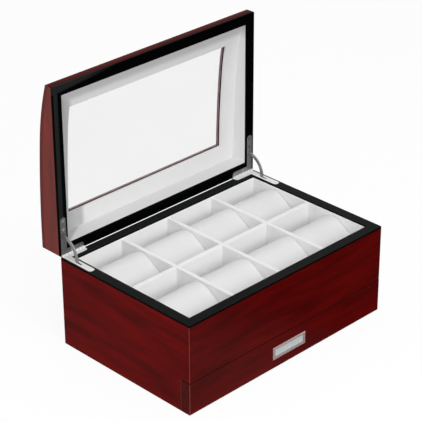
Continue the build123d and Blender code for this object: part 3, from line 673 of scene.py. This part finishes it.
def stuff_pillow(pillow):
    """Blow a slightly shrunken pillow up as cloth under pressure, each point pushed only so far."""
    rest = [vertex.co.copy() for vertex in pillow.data.vertices]
    centre = sum(rest, Vector()) / len(rest)
    for vertex in pillow.data.vertices:
        vertex.co = centre + (vertex.co - centre) * SLACK
    cloth = pillow.modifiers.new("stuffing", "CLOTH")
    cloth.settings.quality = 5
    cloth.settings.mass = 0.3
    cloth.settings.tension_stiffness = 25.0
    cloth.settings.compression_stiffness = 25.0
    cloth.settings.bending_stiffness = 2.0
    cloth.settings.use_pressure = True
    cloth.settings.uniform_pressure_force = 4.0
    cloth.settings.effector_weights.gravity = 0.0
    cloth.collision_settings.use_collision = False
    for step in range(1, CLOTH_STEPS + 1):
        scene.frame_set(step)
    blown = pillow.evaluated_get(bpy.context.evaluated_depsgraph_get())
    swollen = [vertex.co.copy() for vertex in blown.to_mesh().vertices]
    blown.to_mesh_clear()
    pillow.modifiers.remove(cloth)
    scene.frame_set(1)
    for vertex, start, moved in zip(pillow.data.vertices, rest, swollen):
        push = moved - start
        if push.length > MOST_PUSH:
            push.length = MOST_PUSH
        vertex.co = start + push


def sharpen_ends(pillow, low, high):
    """Tighten the rounding towards the flat ends, where a sewn end panel holds the pillow square."""
    for vertex in pillow.data.vertices:
        for end, way in ((low, 1.0), (high, -1.0)):
            depth = (vertex.co.x - end) * way
            if depth < END_ROUNDING:
                share = max(depth, 0.0) / END_ROUNDING
                vertex.co.x = end + way * END_ROUNDING * share ** END_TIGHTNESS


def fill_out(pillow, source):
    """Bring back to the pillow's sewn shape whatever the smoothing has drawn inside it."""
    shape = BVHTree.FromObject(source, bpy.context.evaluated_depsgraph_get())
    for vertex in pillow.data.vertices:
        place, normal, _, distance = shape.find_nearest(vertex.co)
        if (vertex.co - place).dot(normal) < 0.0 and distance < MOST_FILLING:
            vertex.co = place


def pipe_end(pillow, x):
    """A fine piping round one end of a pillow, along the outline that the pillow has there."""
    cut = bmesh.new()
    cut.from_mesh(pillow.data)
    geometry = cut.verts[:] + cut.edges[:] + cut.faces[:]
    sliced = bmesh.ops.bisect_plane(cut, geom=geometry, plane_co=(x, 0.0, 0.0), plane_no=(1.0, 0.0, 0.0))
    edges = [piece for piece in sliced["geom_cut"] if isinstance(piece, bmesh.types.BMEdge)]
    follows = {}
    for edge in edges:
        for one, other in (edge.verts, reversed(edge.verts)):
            follows.setdefault(one, []).append(other)
    here = edges[0].verts[0]
    before = None
    outline = []
    while here not in outline:
        outline.append(here)
        ahead = [vertex for vertex in follows[here] if vertex is not before]
        before, here = here, ahead[0]
    points = [vertex.co.copy() for vertex in outline]
    cut.free()
    line = bpy.data.curves.new("piping", "CURVE")
    line.dimensions = "3D"
    line.bevel_depth = PIPING_RADIUS
    line.bevel_resolution = 2
    spline = line.splines.new("POLY")
    spline.points.add(len(points) - 1)
    for point, place in zip(spline.points, points):
        point.co = (*place, 1.0)
    spline.use_cyclic_u = True
    piping = bpy.data.objects.new("piping", line)
    scene.collection.objects.link(piping)
    select_only(piping)
    bpy.ops.object.convert(target="MESH")
    bpy.ops.object.shade_smooth()
    return bpy.context.object


def select_only(*pieces):
    """Select some pieces alone; the last of them becomes the active one."""
    bpy.ops.object.select_all(action="DESELECT")
    for piece in pieces:
        piece.select_set(True)
    bpy.context.view_layer.objects.active = pieces[-1]


def copy_piece(source):
    """A copy of a piece with a mesh of its own."""
    copied = source.copy()
    copied.data = source.data.copy()
    scene.collection.objects.link(copied)
    return copied


def pad_pillow(source, low, high):
    """A padded copy of one CAD pillow: blown up as cloth, smoothed, its ends sewn square and piped."""
    pillow = copy_piece(source)
    pillow.parent = None
    pillow.matrix_world = source.matrix_world.copy()
    select_only(pillow)
    bpy.ops.object.mode_set(mode="EDIT")
    bpy.ops.mesh.select_all(action="SELECT")
    bpy.ops.mesh.remove_doubles(threshold=0.00001)
    bpy.ops.mesh.normals_make_consistent(inside=False)
    bpy.ops.object.mode_set(mode="OBJECT")
    remesh = pillow.modifiers.new("even_mesh", "REMESH")
    remesh.mode = "VOXEL"
    remesh.voxel_size = VOXEL
    bpy.ops.object.modifier_apply(modifier=remesh.name)
    stuff_pillow(pillow)
    smooth = pillow.modifiers.new("soft_skin", "SMOOTH")
    smooth.factor = 0.5
    smooth.iterations = 2
    bpy.ops.object.modifier_apply(modifier=smooth.name)
    finer = pillow.modifiers.new("finer_skin", "SUBSURF")
    finer.levels = 1
    finer.render_levels = 1
    bpy.ops.object.modifier_apply(modifier=finer.name)
    bpy.ops.object.shade_smooth()
    sharpen_ends(pillow, low, high)
    fill_out(pillow, source)
    low_piping = pipe_end(pillow, low + PIPING_INSET)
    high_piping = pipe_end(pillow, high - PIPING_INSET)
    select_only(low_piping, high_piping, pillow)
    bpy.ops.object.join()
    return pillow


def settle_pillow(pillow, node, seed):
    """Fit a pillow inside its CAD node's box, with the slight unevenness of stuffing."""
    low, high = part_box(node)
    tops = (high[0], high[1], high[2] + TOP_SLACK)
    for vertex in pillow.data.vertices:
        lumps = noise.noise((vertex.co + Vector((seed, 0.0, seed))) * LUMPS_PER_METRE)
        vertex.co.z += lumps * LUMP_SIZE
        for axis in range(3):
            vertex.co[axis] = min(max(vertex.co[axis], low[axis] + SIDE_GAP), tops[axis])


def make_pillows(finish):
    """Eight padded pillows, one shaped and the rest copied from it, each in its own compartment."""
    nodes = [f"pillow_{row}_{column}" for row in ("front", "back") for column in range(1, 5)]
    start, end = (Vector(corner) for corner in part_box(nodes[0]))
    pattern = pad_pillow(nodes_of_box[nodes[0]], start.x, end.x)
    pillows = [pattern]
    for node in nodes[1:]:
        copied = copy_piece(pattern)
        shift = Vector(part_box(node)[0]) - start
        for vertex in copied.data.vertices:
            vertex.co = vertex.co + shift
        pillows.append(copied)
    for index, (pillow, node) in enumerate(zip(pillows, nodes)):
        pillow.name = "padded_" + node
        settle_pillow(pillow, node, SEED_STEP * index)
        pillow.data.materials.clear()
        pillow.data.materials.append(finish)
        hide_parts(node)
        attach(pillow, "base")


# The box is dressed, lit and set before the camera

place_camera()
light_studio()
lay_floor()

# One veneer on every piece; its brightness levels are painted light and shade: lighter on the sides and the
# lid's sides, darker on the roof and the lid's front rail.
front = make_veneer("veneer_front", "x", seed=0.0, painted_light_level=0.9, gloss=0.08, painted_light_and_tone=paint_carcass_highlights)
dress(front, "upper_front_panel", "back_panel")
drawer = make_veneer("veneer_drawer", "x", seed=1.3, painted_light_level=0.9, gloss=0.08, painted_light_and_tone=paint_drawer_highlights_and_shade)
dress(drawer, "drawer_front")
sides = make_veneer("veneer_sides", "y", seed=4.2, painted_light_level=1.42, gloss=0.06, painted_light_and_tone=paint_carcass_highlights)
dress(sides, "left_side", "right_side")
roof = make_veneer("veneer_roof", "x", seed=7.7, painted_light_level=0.75, gloss=0.02, painted_light_and_tone=paint_roof_sheen_and_window_cut)
dress(roof, "lid_roof", "lid_back_rail")
dress(make_veneer("veneer_lid_front", "x", seed=7.7, painted_light_level=0.6, gloss=0.01), "lid_front_rail")
lid_sides = make_veneer("veneer_lid_sides", "z", seed=5.1, painted_light_level=2.35, gloss=0.01, painted_light_and_tone=paint_lid_side_reflection)
dress(lid_sides, "lid_left_rail", "lid_right_rail")

dress(make_black_lacquer("black_base_rim", top_face), "base_rim")
dress(make_black_lacquer("black_lid_rim", upper_left_corner), "lid_rim")

lining = make_suede("lining_suede", level=0.99)
dress(lining, "tray_floor_pad", "long_divider", "cross_divider_1", "cross_divider_2", "cross_divider_3")
dress(lining, "tray_board_front", "tray_board_back", "tray_board_left", "tray_board_right")
dress(lining, "pen_pad", "pen_ridges")
# The lid's linings are the lining's suede set darker as painted shade, the back board darkest
lid_lining = make_suede("lid_lining_suede", level=0.81, in_lid=True)
dress(lid_lining, "lid_ceiling", "lid_board_left", "lid_board_right", "lid_front_cove")
dress(make_suede("lid_back_suede", level=0.74, in_lid=True), "lid_board_back")
dress(make_glass(), "window_pane")

SATIN = {"smoothest": 0.35, "roughest": 0.5}
POLISHED = {"smoothest": 0.25, "roughest": 0.4}
# Painted highlight on the hinge barrels, painted shade at the edge of the pull's inlay
BARREL = {"painted_light_places": hinge_barrel, "second": BARREL_HIGHLIGHT_GREY}
INLAY = {"painted_light_places": inlay_edge, "second": INLAY_SHADOW_GREY}
bright = make_metal("bright_plate", (0.97, 0.97, 0.97), metallic=0.1, **SATIN)
dress(bright, "base_hinge_leaf_left", "base_hinge_leaf_right", "base_hinge_screws", "hinge_pins")
dress(bright, "pull_pins")
# The lid's hinge leaves are darker than the base's as painted shade, the left leaf darkest
shaded_right_leaf = make_metal("shaded_plate", (0.26, 0.26, 0.26), metallic=0.4, **POLISHED, **BARREL)
dress(shaded_right_leaf, "lid_hinge_leaf_right", "stay_rivets")
shaded_left_leaf = make_metal("shaded_plate_left", (0.14, 0.14, 0.14), metallic=0.4, **POLISHED, **BARREL)
dress(shaded_left_leaf, "lid_hinge_leaf_left")
screw_steel = make_metal("lid_screw_steel", (0.5, 0.5, 0.5), metallic=1.0, smoothest=0.2, roughest=0.35)
dress(screw_steel, "lid_hinge_screws")
arm_steel = make_metal("arm_steel", (0.33, 0.325, 0.32), metallic=0.6, **POLISHED)
dress(arm_steel, "stay_arm_left", "stay_arm_right")
dress(make_metal("pull_steel", (0.49, 0.38, 0.37), metallic=0.3, **SATIN), "pull_frame")
dress(make_metal("pull_inlay_steel", (0.72, 0.77, 0.77), metallic=0.1, **SATIN, **INLAY), "pull_insert")

dress(make_bare_wood("bare_wood", "x"), "bottom_panel", "tray_deck", "drawer_back", "drawer_floor")
dress(make_bare_wood("bare_wood_sides", "y"), "drawer_left_side", "drawer_right_side", "drawer_glides")
felt = make_soft_dark("base_felt_cloth", (0.012, 0.012, 0.013), scale=2200.0, roughness=1.0)
dress(felt, "base_felt")
rubber = make_soft_dark("bumper_rubber_black", (0.015, 0.015, 0.015), scale=600.0, roughness=0.8)
dress(rubber, "drawer_bumpers")

# The pillows' lower level is painted shade on the lining's suede
make_pillows(make_suede("pillow_suede_pale", level=0.84))

scene.view_settings.view_transform = "Standard"
